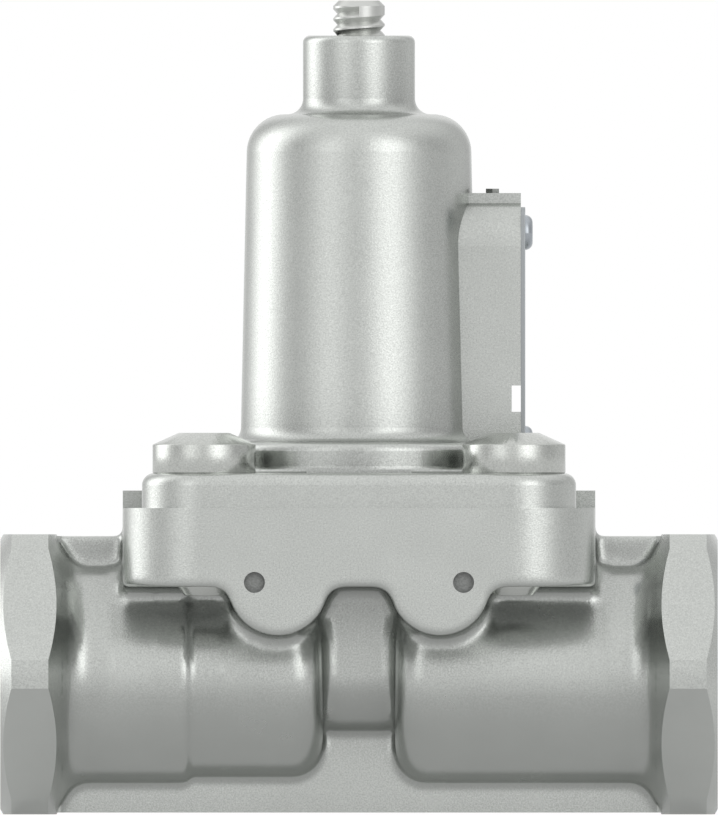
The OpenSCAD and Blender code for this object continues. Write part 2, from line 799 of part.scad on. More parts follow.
// Round-headed drive rivet, its head on the plate
module plate_rivet(i) {
    r = rivet_head_d / 2;
    crown_r = rivet_head_h;
    color([0.62, 0.65, 0.68]) at_rivet(i) {
        translate([0, 0, plate_t]) rotate_extrude() {
            square([r - crown_r, rivet_head_h]);
            translate([r - crown_r, 0]) sector(crown_r, 0, 90);
        }
        translate([0, 0, plate_t - rivet_depth]) cylinder(d = rivet_shank_d, h = rivet_depth + eps);
    }
}

// Disc and stem of the check valve
module check_valve_disc() {
    color([0.78, 0.66, 0.36]) {
        port_cylinder(disc_d / 2, disc_back_x, disc_x);
        port_cylinder(stem_d / 2, stem_far_x, disc_back_x + eps);
    }
}

// Rubber facing that closes on the return seat
module check_valve_facing() {
    color([0.12, 0.12, 0.12]) port_cylinder(disc_d / 2 - facing_inset, disc_x, return_seat_x);
}

module check_valve_spring() {
    color([0.55, 0.56, 0.58]) translate([0, 0, axis_z]) rotate([0, 90, 0])
        helical_spring(return_spring_r, return_wire, return_turns, guide_x, disc_back_x, 8, 16);
}

// Star-shaped guide that centres the stem and lets the air past
module check_valve_guide() {
    color([0.66, 0.67, 0.69]) translate([guide_far_x, 0, axis_z]) rotate([0, 90, 0]) difference() {
        union() {
            difference() {
                cylinder(r = guide_r, h = guide_t);
                translate([0, 0, -eps]) cylinder(r = guide_r - guide_rim_wall, h = guide_t + 2 * eps);
            }
            cylinder(r = guide_hub_r, h = guide_t);
            for (i = [0:guide_arms - 1])
                rotate([0, 0, i * 360 / guide_arms])
                    translate([0, -guide_arm_w / 2, 0])
                        cube([guide_r - guide_rim_wall / 2, guide_arm_w, guide_t]);
        }
        translate([0, 0, -eps]) cylinder(r = stem_d / 2 + slip, h = guide_t + 2 * eps);
    }
}

// Snap ring that holds the guide against its shoulder
module check_valve_circlip() {
    out_r = relief_r + clip_groove - slip;
    color([0.45, 0.46, 0.48]) translate([guide_far_x - clip_t, 0, axis_z]) rotate([0, 90, 0]) difference() {
        cylinder(r = out_r, h = clip_t);
        translate([0, 0, -eps]) cylinder(r = out_r - clip_w, h = clip_t + 2 * eps);
        translate([0, 0, -eps]) linear_extrude(clip_t + 2 * eps) sector(2 * out_r, 180 - clip_gap_angle / 2,
            180 + clip_gap_angle / 2);
    }
}

valve_body();
bonnet();
diaphragm();
thrust_piston();
adjusting_spring();
upper_spring_seat();
thrust_ball();
adjusting_screw();
placed_cover_screw(-1, -1);  // cover_screw_front_left
placed_cover_screw(1, -1);  // cover_screw_front_right
placed_cover_screw(-1, 1);  // cover_screw_rear_left
placed_cover_screw(1, 1);  // cover_screw_rear_right
vent_cover_plate();
plate_rivet(0);  // plate_rivet_upper
plate_rivet(1);  // plate_rivet_lower
check_valve_disc();
check_valve_facing();
check_valve_spring();
check_valve_guide();
check_valve_circlip();
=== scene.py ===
import json
import math

import bpy
from bpy.props import FloatProperty, FloatVectorProperty, IntProperty, PointerProperty
from bpy.types import Operator, Panel, PropertyGroup
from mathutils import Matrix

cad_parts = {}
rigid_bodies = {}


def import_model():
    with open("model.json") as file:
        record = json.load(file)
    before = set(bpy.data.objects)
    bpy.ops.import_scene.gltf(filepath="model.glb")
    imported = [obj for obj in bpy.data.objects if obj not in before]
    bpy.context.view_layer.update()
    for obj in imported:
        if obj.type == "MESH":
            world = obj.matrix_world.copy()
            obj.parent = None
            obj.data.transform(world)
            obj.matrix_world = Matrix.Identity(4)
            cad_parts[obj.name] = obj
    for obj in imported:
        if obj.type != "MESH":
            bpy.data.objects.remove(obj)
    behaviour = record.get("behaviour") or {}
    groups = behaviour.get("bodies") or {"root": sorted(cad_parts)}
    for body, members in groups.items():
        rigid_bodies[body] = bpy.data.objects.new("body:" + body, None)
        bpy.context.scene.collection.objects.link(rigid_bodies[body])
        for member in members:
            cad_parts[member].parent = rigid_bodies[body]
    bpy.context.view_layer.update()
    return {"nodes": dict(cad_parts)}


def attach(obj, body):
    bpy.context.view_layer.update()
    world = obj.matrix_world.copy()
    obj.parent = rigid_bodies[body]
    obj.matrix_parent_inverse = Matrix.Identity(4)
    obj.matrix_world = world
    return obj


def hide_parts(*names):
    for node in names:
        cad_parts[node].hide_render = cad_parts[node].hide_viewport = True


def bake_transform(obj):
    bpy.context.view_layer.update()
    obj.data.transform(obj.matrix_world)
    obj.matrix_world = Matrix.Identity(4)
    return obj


bl_info = {
    "name": "Overflow valve",
    "version": (1, 0, 0),
    "blender": (4, 5, 0),
    "location": "View3D > Sidebar > Overflow valve",
    "description": "Dresses the overflow valve's solids in cast, machined and rubber finishes",
    "category": "Object",
}

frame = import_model()
MM = 0.001

# All sizes and places below are in millimetres. Heights on the body:
AXIS_Z = 16.0  # the ports' axis
FLANGE_Z = 26.0  # the flange's underside
PARTING_Z = 35.0  # the face under the cover
LIP_Z = 37.0  # the rear lip's top
WEB_Z = 0.2  # the web's foot
# Places on the body
INLET_X = -11.5  # the inlet bore
STEP_X = -19.5  # the step in the left chamber
END_X = 34.0  # where the two machined ends start
SCREW_AT = 17.7  # the cover screws, both ways from the middle
LOBE_X, LOBE_Z = 9.25, 26.15  # the mounting holes
MARK_X, MARK_Z = 11.95, 26.5  # the round marks on the front
# Holes: the radius at a thread's ridges and at its grooves, and where the thread starts and ends
PORT_R, PORT_ROOT_R, PORT_THREAD_X = 10.2, 10.95, (27.3, 40.6)
MOUNT_R, MOUNT_ROOT_R, MOUNT_THREAD_Y = 3.4, 3.95, (15, 26.3)
CHAMBER_R, SCREW_HOLE_R, MARK_R = 20.9, 3.0, 1.2
# The adjusting screw: its radius, both ends and where its groove ends
SCREW_R, SCREW_FOOT_Z, SCREW_TOP_Z, GROOVE_TOP_Z = 2.95, 75.4, 93.0, 91.8
# The adjusting spring: its foot, the height where its two halves meet, and its top
SPRING_FOOT_Z, SPRING_MIDDLE_Z, SPRING_TOP_Z = 38.5, 54.3, 70.1

# The floor's painted glow grows between these distances from the middle, in metres, so that an oval of
# painted shadow lies round the valve; a distance along the valve counts for less
GLOW_FROM, GLOW_TO, GLOW_LENGTHWISE = 0.036, 0.095, 0.53

# Light round the horizon: the room's brightness, and what the pale wall straight behind the valve and the
# soft lights add to it. A light's direction is in degrees from the viewer's side, positive to the right
ROOM, WALL = 0.58, 0.42
SOFT_LIGHTS = {
    "left, a little behind": (-110, 1.90),
    "front left": (-30, 0.75),
    "front right": (32, 1.40),
    "rear right": (125, 0.13),
}
# How far from their middle a light and the wall have faded, in degrees
LIGHT_SPREAD, WALL_SPREAD = 22, 20
# Brightness of the light from above, and the heights between which it takes over, from 0 at the
# horizon to 1 overhead
OVERHEAD = 1.0
OVERHEAD_FROM, OVERHEAD_TO = 0.35, 0.95


class FinishSettings(PropertyGroup):
    """Colours and surface sizes of the valve's finishes."""

    casting_colour: FloatVectorProperty(
        name="Casting colour",
        description="Colour of the cast aluminium of the body and the bonnet",
        subtype="COLOR",
        default=(0.555, 0.572, 0.550),
        min=0.0,
        max=1.0,
    )
    casting_roughness: FloatProperty(
        name="Casting roughness",
        description="How matt the cast skin is",
        subtype="FACTOR",
        default=0.26,
        min=0.0,
        max=1.0,
    )
    fillet_voxel: FloatProperty(
        name="Fillet step",
        description="Size of the steps in which the cast fillets are worked out",
        subtype="DISTANCE",
        default=0.00027,
        min=0.0002,
        max=0.001,
        precision=5,
    )
    hollow_radius: FloatProperty(
        name="Hollow fillet radius",
        description="Radius of the fillets that fill the casting's hollow corners",
        subtype="DISTANCE",
        default=0.001,
        min=0.0002,
        max=0.003,
        precision=5,
    )
    edge_passes: IntProperty(
        name="Edge passes",
        description="How often the outer edges are smoothed; more passes give rounder edges",
        default=9,
        min=1,
        max=60,
    )
    # Painted shade: how much the cast skin's colour is darkened in its deep corners
    painted_recess_shade: FloatProperty(
        name="Painted recess shade",
        description="How much darker the cast skin is in its deep corners, where the blasting reaches less",
        subtype="FACTOR",
        default=0.5,
        min=0.0,
        max=1.0,
    )
    grain_size: FloatProperty(
        name="Grain size",
        description="Width of one grain of the cast skin",
        subtype="DISTANCE",
        default=0.00018,
        min=0.00005,
        max=0.002,
        precision=5,
    )


class StageSettings(PropertyGroup):
    """The floor, the light around the valve and the camera."""

    view_height: FloatProperty(
        name="View height",
        description="Height of the upright strip of space that the camera shows",
        subtype="DISTANCE",
        default=0.09314,
        min=0.01,
        precision=5,
    )
    view_centre: FloatProperty(
        name="View centre",
        description="Height above the floor that the camera looks at",
        subtype="DISTANCE",
        default=0.04649,
        precision=5,
    )
    floor_colour: FloatVectorProperty(
        name="Floor colour",
        description="Colour of the plain floor",
        subtype="COLOR",
        default=(0.26, 0.26, 0.26),
        min=0.0,
        max=1.0,
    )
    # Painted glow of the floor close to the valve, inside the painted shadow; it lights the valve from
    # below
    floor_glow: FloatProperty(
        name="Floor glow",
        description="Light that comes through the floor from below, as on a light table",
        default=0.37,
        min=0.0,
        max=1.0,
    )
    # Painted glow of the floor farther out, beyond the painted shadow round the valve
    glow_beyond_painted_shadow: FloatProperty(
        name="Glow beyond the painted shadow",
        description="The same light farther out, where the valve leaves the floor open",
        default=0.50,
        min=0.0,
        max=1.0,
    )


def deselect_all():
    """Leaves object mode with nothing selected."""
    if bpy.context.object and bpy.context.object.mode != "OBJECT":
        bpy.ops.object.mode_set(mode="OBJECT")
    bpy.ops.object.select_all(action="DESELECT")


def choose(obj):
    """Selects one object alone and makes it active."""
    deselect_all()
    obj.select_set(True)
    bpy.context.view_layer.objects.active = obj


def edit_all(obj, *steps):
    """Runs mesh operators on the whole of a piece in edit mode."""
    choose(obj)
    bpy.ops.object.mode_set(mode="EDIT")
    bpy.ops.mesh.select_all(action="SELECT")
    for step, values in steps:
        step(**values)
    bpy.ops.object.mode_set(mode="OBJECT")


def settle(obj):
    """Puts a piece's place into its mesh."""
    choose(obj)
    bpy.ops.object.transform_apply(location=True, rotation=True, scale=True)


def copy_of(obj, name):
    """A copy of a piece with its own mesh."""
    choose(obj)
    bpy.ops.object.duplicate()
    bpy.context.object.name = name
    return bpy.context.object


def copy_of_node(node, name):
    """A merged, free copy of a solid, to be reshaped."""
    piece = copy_of(frame["nodes"][node], name)
    bpy.ops.object.parent_clear(type="CLEAR_KEEP_TRANSFORM")
    for key in list(piece.keys()):
        del piece[key]
    bpy.ops.mesh.customdata_custom_splitnormals_clear()
    edit_all(piece, (bpy.ops.mesh.remove_doubles, {"threshold": 1e-6}))
    return piece


def rod(name, radius, low, high, at, axis="Z", sides=96):
    """A round bar between two places on an axis; at holds its other two coordinates. All in millimetres."""
    middle = (low + high) / 2
    place = {"X": (middle, *at), "Y": (at[0], middle, at[1]), "Z": (*at, middle)}[axis]
    turned = {"X": (0, math.pi / 2, 0), "Y": (math.pi / 2, 0, 0), "Z": (0, 0, 0)}[axis]
    deselect_all()
    bpy.ops.mesh.primitive_cylinder_add(
        vertices=sides,
        radius=radius * MM,
        depth=(high - low) * MM,
        location=[c * MM for c in place],
        rotation=turned,
    )
    bar = bpy.context.object
    bar.name = name
    settle(bar)
    return bar


def block(name, low, high):
    """A block between two corners, in millimetres."""
    deselect_all()
    bpy.ops.mesh.primitive_cube_add(size=1, location=[(a + b) / 2 * MM for a, b in zip(low, high)])
    made = bpy.context.object
    made.name = name
    made.scale = [(b - a) * MM for a, b in zip(low, high)]
    settle(made)
    return made


def apply(obj, kind, **values):
    """Adds a modifier to a piece and applies it."""
    choose(obj)
    modifier = obj.modifiers.new(kind.title(), kind)
    for name, value in values.items():
        setattr(modifier, name, value)
    bpy.ops.object.modifier_apply(modifier=modifier.name)


def combine(obj, other, operation, keep=False):
    """Joins, cuts or crosses a piece with another solid, which is then removed unless it is kept."""
    apply(obj, "BOOLEAN", operation=operation, object=other, solver="MANIFOLD")
    if not keep:
        bpy.data.objects.remove(other)


def bevel_edges(obj, width, degrees):
    """Rounds a piece's sharp edges; the width is in millimetres."""
    limit = math.radians(degrees)
    apply(obj, "BEVEL", width=width * MM, segments=2, limit_method="ANGLE", angle_limit=limit)


def helix_ridge(name, profile, pitch, turns, steps=48, right_handed=True):
    """A closed ridge that winds up the Z axis; profile lists its corners: radius, height in millimetres."""
    deselect_all()
    bpy.ops.mesh.primitive_circle_add(vertices=len(profile), radius=MM)
    ridge = bpy.context.object
    ridge.name = name
    for vertex, (radius, height) in zip(ridge.data.vertices, profile):
        vertex.co = (radius * MM, 0, height * MM)
    apply(
        ridge,
        "SCREW",
        angle=2 * math.pi * turns * (1 if right_handed else -1),
        screw_offset=pitch * turns * MM,
        iterations=1,
        steps=round(steps * turns),
        render_steps=round(steps * turns),
        use_merge_vertices=False,
    )
    edit_all(
        ridge,
        (bpy.ops.mesh.fill_holes, {"sides": len(profile)}),
        (bpy.ops.mesh.normals_make_consistent, {"inside": False}),
    )
    return ridge


def smooth(obj, degrees=30):
    """Smooth shading that keeps edges sharper than the angle."""
    choose(obj)
    bpy.ops.object.shade_smooth_by_angle(angle=math.radians(degrees))


def new_material(name):
    """A material with its Principled shader, and the shader."""
    material = bpy.data.materials.new(name)
    material.use_nodes = True
    return material, material.node_tree.nodes["Principled BSDF"]


def dress(obj, material):
    """Gives a piece its one material."""
    obj.data.materials.clear()
    obj.data.materials.append(material)


def socket(group, name, kind, in_out, default=None):
    """A named socket on a node group."""
    made = group.interface.new_socket(name=name, in_out=in_out, socket_type=kind)
    if default is not None:
        made.default_value = default
    return made


def calc(tree, operation, *values):
    """A maths node on numbers and other nodes' outputs; gives its output."""
    node = tree.nodes.new("ShaderNodeMath")
    node.operation = operation
    for place, value in enumerate(values):
        if isinstance(value, (int, float)):
            node.inputs[place].default_value = value
        else:
            tree.links.new(value, node.inputs[place])
    return node.outputs[0]


def ranged(tree, value, low, high, to_low=0.0, to_high=1.0, soft=False):
    """Maps a value from one range to another; gives the node's output."""
    node = tree.nodes.new("ShaderNodeMapRange")
    if soft:
        node.interpolation_type = "SMOOTHSTEP"
    for name, number in (("From Min", low), ("From Max", high), ("To Min", to_low), ("To Max", to_high)):
        node.inputs[name].default_value = number
    tree.links.new(value, node.inputs["Value"])
    return node.outputs["Result"]


def noise(tree, detail, place, scale=None):
    """A noise texture on an object's own coordinates."""
    node = tree.nodes.new("ShaderNodeTexNoise")
    node.inputs["Detail"].default_value = detail
    if scale:
        node.inputs["Scale"].default_value = scale
    tree.links.new(place, node.inputs["Vector"])
    return node


def add_relief(material, shader, height, strength, depth):
    """Bump on a shader, from a height in the same material."""
    nodes, links = material.node_tree.nodes, material.node_tree.links
    relief = nodes.new("ShaderNodeBump")
    relief.inputs["Strength"].default_value = strength
    relief.inputs["Distance"].default_value = depth
    links.new(height, relief.inputs["Height"])
    links.new(relief.outputs["Normal"], shader.inputs["Normal"])


def casting_skin_group():
    """Node group: the tone, roughness and height of a fine cast skin, with painted shade in its deep
    corners and painted sparkle on its grain.
    """
    group = bpy.data.node_groups.new("Casting skin", "ShaderNodeTree")
    socket(group, "Colour", "NodeSocketColor", "INPUT", (0.55, 0.55, 0.55, 1))
    socket(group, "Grain size", "NodeSocketFloat", "INPUT", 0.0002)
    socket(group, "Roughness", "NodeSocketFloat", "INPUT", 0.4)
    socket(group, "Blotches", "NodeSocketFloat", "INPUT", 0.05)
    socket(group, "Painted recess shade", "NodeSocketFloat", "INPUT", 0.4)
    socket(group, "Colour", "NodeSocketColor", "OUTPUT")
    socket(group, "Roughness", "NodeSocketFloat", "OUTPUT")
    socket(group, "Height", "NodeSocketFloat", "OUTPUT")
    nodes, links = group.nodes, group.links
    given, put = nodes.new("NodeGroupInput"), nodes.new("NodeGroupOutput")
    place = nodes.new("ShaderNodeTexCoord").outputs["Object"]

    grain = noise(group, 1.0, place)
    links.new(calc(group, "DIVIDE", 1.0, given.outputs["Grain size"]), grain.inputs["Scale"])
    cloud = noise(group, 4.0, place, 160.0)
    unevenness = calc(group, "SUBTRACT", cloud.outputs["Fac"], 0.5)
    blotch = calc(group, "MULTIPLY", unevenness, given.outputs["Blotches"])

    # The grain's tone is the skin's own; its contrast is painted sparkle, strong on faces turned up to the
    # light and faded on undersides
    facing = nodes.new("ShaderNodeSeparateXYZ")
    surface = nodes.new("ShaderNodeNewGeometry")
    links.new(surface.outputs["True Normal"], facing.inputs[0])
    painted_sparkle = ranged(group, facing.outputs["Z"], -0.45, 0.0, 0.06, 0.5)
    speck = calc(group, "SUBTRACT", grain.outputs["Fac"], 0.5)
    tone = calc(group, "ADD", blotch, calc(group, "MULTIPLY_ADD", speck, painted_sparkle, 1.0))

    # Painted shade: deep corners, found by ambient occlusion, are darker, but less so near the foot
    openness = nodes.new("ShaderNodeAmbientOcclusion")
    openness.samples = 6
    openness.only_local = True
    openness.inputs["Distance"].default_value = 0.0075
    closed = calc(group, "SUBTRACT", 1.0, openness.outputs["AO"])
    height = nodes.new("ShaderNodeSeparateXYZ")
    links.new(place, height.inputs[0])
    above_foot = ranged(group, height.outputs["Z"], 0.003, 0.010, 0.15)
    strength = calc(group, "MULTIPLY", given.outputs["Painted recess shade"], above_foot)
    kept = calc(group, "SUBTRACT", tone, calc(group, "MULTIPLY", closed, strength))

    shade = nodes.new("ShaderNodeVectorMath")
    shade.operation = "SCALE"
    links.new(given.outputs["Colour"], shade.inputs[0])
    links.new(kept, shade.inputs["Scale"])
    links.new(shade.outputs[0], put.inputs["Colour"])
    rough = calc(group, "MULTIPLY_ADD", blotch, 0.8, given.outputs["Roughness"])
    links.new(rough, put.inputs["Roughness"])
    links.new(grain.outputs["Fac"], put.inputs["Height"])
    return group


def cast_aluminium(name, colour, roughness, grain_size, bump=0.14, blotches=0.10):
    """Sand-grey cast aluminium with a fine grain, and painted shade in its deep corners."""
    material, shader = new_material(name)
    nodes, links = material.node_tree.nodes, material.node_tree.links
    skin = nodes.new("ShaderNodeGroup")
    skin.node_tree = bpy.data.node_groups.get("Casting skin") or casting_skin_group()
    skin.inputs["Colour"].default_value = (*colour, 1)
    skin.inputs["Grain size"].default_value = grain_size
    skin.inputs["Roughness"].default_value = roughness
    skin.inputs["Blotches"].default_value = blotches
    skin.inputs["Painted recess shade"].default_value = bpy.context.scene.valve_finish.painted_recess_shade
    add_relief(material, shader, skin.outputs["Height"], bump, 0.00006)
    links.new(skin.outputs["Colour"], shader.inputs["Base Color"])
    links.new(skin.outputs["Roughness"], shader.inputs["Roughness"])
    shader.inputs["Metallic"].default_value = 1.0
    return material


def turned_metal(name, colour, roughness, mark_size=0.00012, bump=0.15, axis="X", metallic=1.0):
    """Bright metal with the fine rings that turning leaves round an axis."""
    material, shader = new_material(name)
    nodes, links = material.node_tree.nodes, material.node_tree.links
    place = nodes.new("ShaderNodeTexCoord")
    stretch = nodes.new("ShaderNodeMapping")
    along = {"X": 0, "Y": 1, "Z": 2}[axis]
    stretch.inputs["Scale"].default_value = [1.0 if i == along else 0.08 for i in range(3)]
    links.new(place.outputs["Object"], stretch.inputs["Vector"])
    rings = noise(material.node_tree, 2.0, stretch.outputs["Vector"], 1 / mark_size).outputs["Fac"]
    add_relief(material, shader, rings, bump, 0.00003)
    sheen = ranged(material.node_tree, rings, 0.0, 1.0, roughness - 0.06, roughness + 0.06)
    links.new(sheen, shader.inputs["Roughness"])
    shader.inputs["Base Color"].default_value = (*colour, 1)
    shader.inputs["Metallic"].default_value = metallic
    return material


def moulded_rubber(name, colour):
    """Dull black rubber with a faint moulded texture."""
    material, shader = new_material(name)
    nodes, links = material.node_tree.nodes, material.node_tree.links
    place = nodes.new("ShaderNodeTexCoord")
    pores = noise(material.node_tree, 3.0, place.outputs["Object"], 2500.0).outputs["Fac"]
    tone = nodes.new("ShaderNodeValToRGB")
    tone.color_ramp.elements[0].color = (*[0.7 * c for c in colour], 1)
    tone.color_ramp.elements[1].color = (*[1.4 * c for c in colour], 1)
    links.new(pores, tone.inputs["Fac"])
    links.new(tone.outputs["Color"], shader.inputs["Base Color"])
    add_relief(material, shader, pores, 0.3, 0.00004)
    shader.inputs["Roughness"].default_value = 0.62
    return material


def casting_material():
    """The one cast skin that the body and the bonnet share."""
    finish = bpy.context.scene.valve_finish
    return bpy.data.materials.get("Cast aluminium") or cast_aluminium(
        "Cast aluminium", finish.casting_colour, finish.casting_roughness, finish.grain_size
    )


def bore_material():
    """Bright cut metal of bores, threads and port faces."""
    return bpy.data.materials.get("Cut aluminium") or turned_metal(
        "Cut aluminium", (0.66, 0.67, 0.66), 0.30
    )


def screw_steel():
    """Pale zinc-plated steel."""
    return bpy.data.materials.get("Plated steel") or turned_metal(
        "Plated steel", (0.62, 0.63, 0.61), 0.30, axis="Z"
    )


def finish_faces(obj, material, chosen):
    """Gives a second finish to the faces that a test on their middle and normal, in millimetres, picks."""
    obj.data.materials.append(material)
    index = len(obj.data.materials) - 1
    for face in obj.data.polygons:
        if chosen(face.center / MM, face.normal):
            face.material_index = index


def between(value, low, high):
    """How far a value lies between two others, from 0 to 1."""
    return min(max((value - low) / (high - low), 0), 1)


def fillet_share(at):
    """How much of the full hollow fillet a place in the body has, from 0 to 1."""
    x, y, z = at.x / MM, at.y / MM, at.z / MM
    # Full in the upper half, small round the web
    upper = 0.15 + 0.85 * between(z, 9, 16)
    # Small at the step in the left chamber, except close under the flange
    step = max(between(abs(x - STEP_X), 0.8, 4), between(z, 21.5, 24.5), 0.1)
    # Small where the necks meet the flange's sides
    neck = max(between(z, 31.5, 27.5), between(abs(x), 26, 23), between(abs(y), 12, 16), 0.1)
    # None on the flares, which keep their own radius
    flare = between(abs(x), 32, 28)
    return min(upper, step, neck, flare)


def smoothing_share(at):
    """How much of the smoothing a place in the body gets: little at the step, the web and the ends."""
    x, y, z = at.x / MM, at.y / MM, at.z / MM
    share = between(END_X - 0.2 - abs(x), 0, 0.8)
    if abs(x - STEP_X) < 1.1 and math.hypot(y, z - AXIS_Z) < 12.9 and z < 24:
        share *= 0.1
    if z < 10 and abs(y) < 4.5:
        share *= 0.45
    return share


def even_out(obj, step, passes):
    """Lays an even mesh over a solid and smooths it, and marks where it may swell."""
    apply(obj, "REMESH", mode="VOXEL", voxel_size=step)
    middle = obj.vertex_groups.new(name="middle")
    hollows = obj.vertex_groups.new(name="hollows")
    for vertex in obj.data.vertices:
        weight = smoothing_share(vertex.co)
        if weight > 0:
            middle.add([vertex.index], weight, "REPLACE")
            hollows.add([vertex.index], fillet_share(vertex.co), "REPLACE")
    apply(obj, "SMOOTH", factor=0.5, iterations=passes, vertex_group="middle")


def soften(obj, step, hollow_radius, edge_passes):
    """Rounds a solid as casting does: it swells and shrinks again, which fills the hollow corners."""
    even_out(obj, step, 3)
    for strength, passes in ((hollow_radius, 5), (-hollow_radius, edge_passes)):
        apply(obj, "DISPLACE", direction="NORMAL", strength=strength, mid_level=0.0, vertex_group="hollows")
        obj.vertex_groups.clear()
        even_out(obj, step, passes)
    obj.vertex_groups.clear()


def select_faces(obj, chosen):
    """Selects the faces that a test picks, and leaves the piece in edit mode."""
    choose(obj)
    bpy.ops.object.mode_set(mode="EDIT")
    bpy.ops.mesh.select_mode(type="FACE")
    bpy.ops.mesh.select_all(action="DESELECT")
    bpy.ops.object.mode_set(mode="OBJECT")
    for face in obj.data.polygons:
        face.select = chosen(face)
    bpy.ops.object.mode_set(mode="EDIT")


def mark_end_edges(obj, degrees):
    """Keeps the edges of the two machined ends sharp, while everything between them is hidden."""
    select_faces(obj, lambda face: abs(face.center.x) < END_X * MM)
    bpy.ops.mesh.hide(unselected=False)
    bpy.ops.mesh.select_mode(type="EDGE")
    bpy.ops.mesh.edges_select_sharp(sharpness=math.radians(degrees))
    bpy.ops.mesh.mark_sharp()
    bpy.ops.mesh.reveal(select=False)
    bpy.ops.object.mode_set(mode="OBJECT")


def body_filling():
    """Solid plugs, a little wider than the body casting's hollows, that fill every one of them."""
    parts = [
        rod("left_port", PORT_R + 0.4, -42, -6.8, (0, AXIS_Z), "X"),
        rod("right_port", PORT_R + 0.4, 6.8, 42, (0, AXIS_Z), "X"),
        rod("return_bore", 4.4, -8, 8, (0, AXIS_Z), "X"),
        rod("chamber", CHAMBER_R + 0.3, FLANGE_Z + 0.3, PARTING_Z + 2, (0, 0)),
        rod("inlet", 3.9, 14, 34, (INLET_X, 0)),
        block("passage", (-1, -4.9, 15), (11.6, 4.9, 28)),
    ]
    for side in (-1, 1):
        for depth in (-SCREW_AT, SCREW_AT):
            at = (side * SCREW_AT, depth)
            parts.append(rod("screw", SCREW_HOLE_R + 0.3, FLANGE_Z + 0.3, PARTING_Z + 2, at))
        parts.append(rod("mount", MOUNT_R + 0.2, 12.5, 26.99, (side * LOBE_X, LOBE_Z), "Y"))
        parts.append(rod("mark", MARK_R + 0.2, -26.99, -24.5, (side * MARK_X, MARK_Z), "Y"))
    filling = parts[0]
    for part in parts[1:]:
        combine(filling, part, "UNION")
    return filling


def raise_flange(body):
    """Carries the flange on upwards with copies of its upper part."""
    slab = copy_of(body, "slab")
    combine(slab, block("band", (-30, -30, 32.5), (30, 30, 34.9)), "INTERSECT")
    for rise in (2.35, 4.7):
        raised = copy_of(slab, "raised")
        raised.location.z = rise * MM
        settle(raised)
        combine(body, raised, "UNION")
    bpy.data.objects.remove(slab)


def join_crisp_ends(body, crisp):
    """Cuts the softened body off at its two machined ends and puts the crisp ends of the solid there."""
    overlap = END_X + 0.02
    combine(body, block("middle", (-overlap, -40, -5), (overlap, 40, 50)), "INTERSECT")
    combine(body, block("below_web", (-50, -50, -9), (50, 50, WEB_Z)), "DIFFERENCE")
    for side in (-1, 1):
        low, high = sorted((side * (END_X - 0.02), side * 43))
        end = copy_of(crisp, "end")
        combine(end, block("end_box", (low, -40, -5), (high, 40, 50)), "INTERSECT")
        combine(body, end, "UNION")


def cut_openings(body):
    """Cuts the parting face, the lip, the holes and the roots of the threads."""
    combine(body, block("above_parting", (-50, -50, PARTING_Z), (50, 25, 50)), "DIFFERENCE")
    combine(body, block("above_lip", (-50, 24, LIP_Z), (50, 50, 50)), "DIFFERENCE")
    for side in (-1, 1):
        lobe, mark = (side * LOBE_X, LOBE_Z), (side * MARK_X, MARK_Z)
        for depth in (-SCREW_AT, SCREW_AT):
            at = (side * SCREW_AT, depth)
            combine(body, rod("screw", SCREW_HOLE_R, 20, 40, at, sides=64), "DIFFERENCE")
        combine(body, rod("mount", MOUNT_R, 25, 30, lobe, "Y", 64), "DIFFERENCE")
        combine(body, rod("mark", MARK_R, -30, -26, mark, "Y", 48), "DIFFERENCE")
        low, high = sorted(side * x for x in PORT_THREAD_X)
        combine(body, rod("thread_root", PORT_ROOT_R, low, high, (0, AXIS_Z), "X"), "DIFFERENCE")
        combine(body, rod("mount_root", MOUNT_ROOT_R, *MOUNT_THREAD_Y, lobe, "Y", 64), "DIFFERENCE")


def placed_threads(ridge, places):
    """Copies of a thread's ridge, each turned and moved to its hole; the ridge itself is removed."""
    threads = []
    for turn, place in places:
        thread = copy_of(ridge, "thread")
        thread.rotation_euler = turn
        thread.location = [c * MM for c in place]
        settle(thread)
        threads.append(thread)
    bpy.data.objects.remove(ridge)
    return threads


def port_threads():
    """The threads of the two ports, whose ridges start in the wall."""
    foot, half_width, pitch, turns = PORT_ROOT_R + 0.1, 0.82, 1.814, 6.4
    profile = [(foot, -half_width), (PORT_R, 0), (foot, half_width)]
    start = PORT_THREAD_X[0] + 1
    return placed_threads(
        helix_ridge("port_thread", profile, pitch, turns),
        [((0, side * math.pi / 2, 0), (side * start, 0, AXIS_Z)) for side in (-1, 1)],
    )


def mount_threads():
    """The threads of the two mounting holes, whose ridges start in the wall."""
    foot, half_width, pitch, turns = MOUNT_ROOT_R + 0.1, 0.58, 1.25, 8.4
    profile = [(foot, -half_width), (MOUNT_R, 0), (foot, half_width)]
    start = MOUNT_THREAD_Y[0] + 0.4
    return placed_threads(
        helix_ridge("mount_thread", profile, pitch, turns, steps=32),
        [((-math.pi / 2, 0, 0), (side * LOBE_X, start, LOBE_Z)) for side in (-1, 1)],
    )


def is_cut_face(at, way):
    """Whether a face of the body was machined: ports, threads, parting face and diaphragm chamber."""
    from_lobe = min(math.hypot(at.x - LOBE_X, at.z - LOBE_Z), math.hypot(at.x + LOBE_X, at.z - LOBE_Z))
    in_port = math.hypot(at.y, at.z - AXIS_Z) < PORT_ROOT_R + 0.25 and abs(at.x) > 7
    on_port_face = abs(at.x) > 40.95
    on_parting_face = abs(at.z - PARTING_Z) < 0.05 and way.z > 0.9
    in_chamber = 29.5 < at.z < PARTING_Z and math.hypot(at.x, at.y) < CHAMBER_R
    in_mount = 13 < at.y < 26.9 and from_lobe < MOUNT_ROOT_R + 0.15
    return in_port or on_port_face or on_parting_face or in_chamber or in_mount


def is_mark_face(at, way):
    """Whether a face belongs to one of the two round marks on the front."""
    from_mark = min(abs(at.x - MARK_X), abs(at.x + MARK_X))
    reach = MARK_R + 0.1
    return -26.97 < at.y < -25 and from_mark < reach and abs(at.z - MARK_Z) < reach


